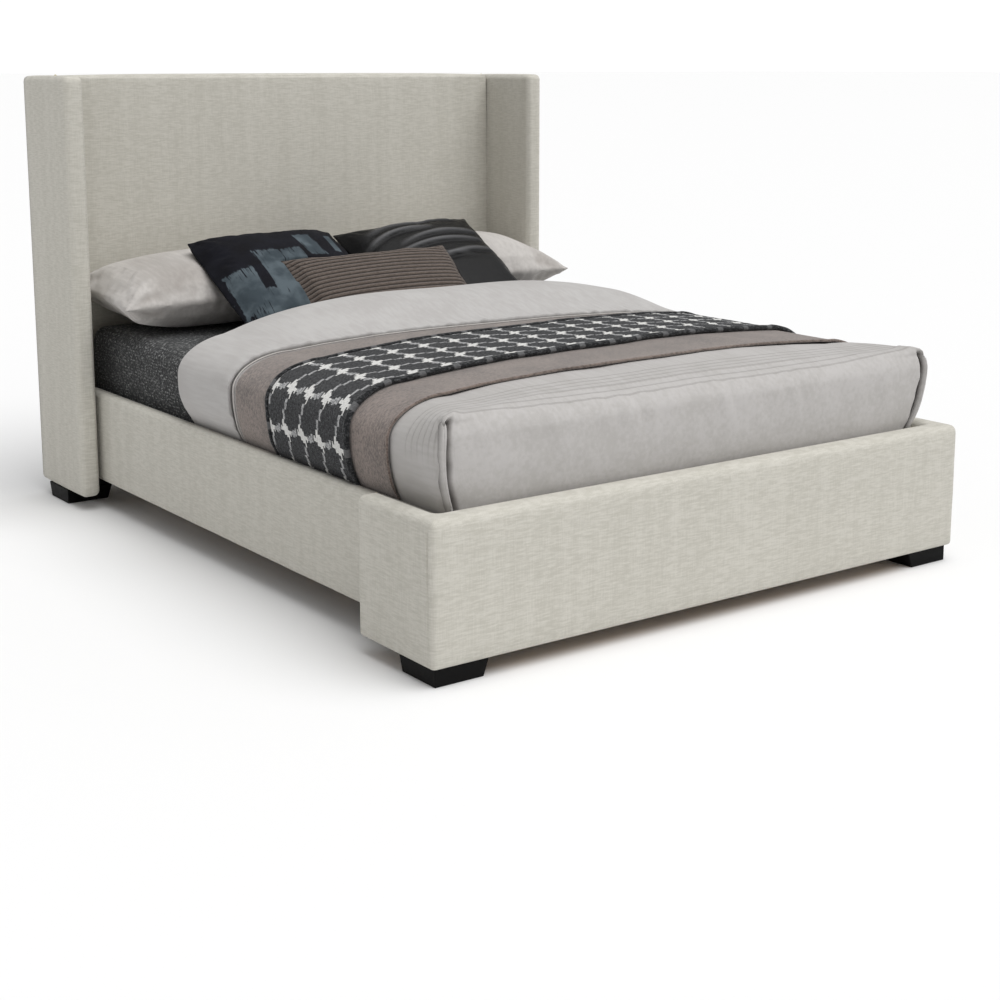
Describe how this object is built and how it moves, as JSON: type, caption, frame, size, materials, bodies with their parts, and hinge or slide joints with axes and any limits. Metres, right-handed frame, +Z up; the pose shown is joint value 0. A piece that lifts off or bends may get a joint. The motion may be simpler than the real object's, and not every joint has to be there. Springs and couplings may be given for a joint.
{
  "type": "upholstered headboard bed",
  "caption": "Upholstered platform bed with a tall winged headboard, box footboard wrapping onto the side rails, tapered block feet, slatted base, mattress, layered bedding and cushions.",
  "frame": {"origin": "on the floor, at the middle of the bed footprint", "axes": "+Z up, +Y from the footboard to the headboard, +X across the bed, to the right when looking from the foot to the head"},
  "size_m": [1.78, 2.248, 1.332],
  "materials": {
    "linen_upholstery": "matte",
    "upholstery_foam": "matte",
    "plywood_board": "matte",
    "pine_timber": "matte",
    "black_wood": "satin",
    "dust_cloth": "matte",
    "zinc_steel": "satin",
    "black_plastic": "matte",
    "mattress_ticking": "matte",
    "charcoal_knit": "matte",
    "duvet_cotton": "matte",
    "taupe_felt": "matte",
    "throw_wool": "matte",
    "pillow_cotton": "matte",
    "navy_print": "matte",
    "charcoal_satin": "satin",
    "ribbed_taupe": "matte"
  },
  "bodies": {
    "bed_frame": {"beam_cup_foot": "zinc_steel", "beam_cup_head": "zinc_steel", "centre_beam": "pine_timber", "centre_leg_foot": "pine_timber", "centre_leg_head": "pine_timber", "corner_bracket_foot_left": "zinc_steel", "corner_bracket_foot_right": "zinc_steel", "corner_bracket_head_left": "zinc_steel", "corner_bracket_head_right": "zinc_steel", "foot_front_left": "black_wood", "foot_front_right": "black_wood", "foot_head_left": "black_wood", "foot_head_right": "black_wood", "footboard_board": "plywood_board", "footboard_cover": "linen_upholstery", "footboard_foam": "upholstery_foam", "footboard_return_board_left": "plywood_board", "footboard_return_board_right": "plywood_board", "headboard_back_cloth": "dust_cloth", "headboard_board": "plywood_board", "headboard_cover": "linen_upholstery", "headboard_foam": "upholstery_foam", "headboard_post_left": "pine_timber", "headboard_post_right": "pine_timber", "side_rail_left_board": "plywood_board", "side_rail_left_cover": "linen_upholstery", "side_rail_left_foam": "upholstery_foam", "side_rail_right_board": "plywood_board", "side_rail_right_cover": "linen_upholstery", "side_rail_right_foam": "upholstery_foam", "slat_01": "pine_timber", "slat_02": "pine_timber", "slat_03": "pine_timber", "slat_04": "pine_timber", "slat_05": "pine_timber", "slat_06": "pine_timber", "slat_07": "pine_timber", "slat_08": "pine_timber", "slat_09": "pine_timber", "slat_10": "pine_timber", "slat_cleat_left": "pine_timber", "slat_cleat_right": "pine_timber", "wing_left_board": "plywood_board", "wing_left_cover": "linen_upholstery", "wing_left_foam": "upholstery_foam", "wing_right_board": "plywood_board", "wing_right_cover": "linen_upholstery", "wing_right_foam": "upholstery_foam"},
    "glide_head": {"levelling_glide_head": "black_plastic"},
    "glide_foot": {"levelling_glide_foot": "black_plastic"},
    "made_mattress": {"mattress": "mattress_ticking", "coverlet": "charcoal_knit", "duvet": "duvet_cotton", "taupe_blanket": "taupe_felt", "throw": "throw_wool"},
    "sleeping_pillows": {"pillow_left": "pillow_cotton", "pillow_right": "pillow_cotton"},
    "square_cushions": {"navy_cushion": "navy_print", "charcoal_cushion": "charcoal_satin"},
    "lumbar_cushion_body": {"lumbar_cushion": "ribbed_taupe"}
  },
  "joints": [
    {"name": "mattress_lift", "type": "slide", "parent": "bed_frame", "child": "made_mattress", "axis": [0, 0, 1], "range_m": [0, 0.4]},
    {"name": "pillows_lift", "type": "slide", "parent": "made_mattress", "child": "sleeping_pillows", "axis": [0, 0, 1], "range_m": [0, 0.35]},
    {"name": "square_cushions_lift", "type": "slide", "parent": "sleeping_pillows", "child": "square_cushions", "axis": [0, 0, 1], "range_m": [0, 0.35]},
    {"name": "lumbar_lift", "type": "slide", "parent": "square_cushions", "child": "lumbar_cushion_body", "axis": [0, 0, 1], "range_m": [0, 0.3]},
    {"name": "glide_head_screw", "type": "slide", "parent": "bed_frame", "child": "glide_head", "axis": [0, 0, 1], "range_m": [0, 0.012]},
    {"name": "glide_foot_screw", "type": "slide", "parent": "bed_frame", "child": "glide_foot", "axis": [0, 0, 1], "range_m": [0, 0.012]}
  ]
}
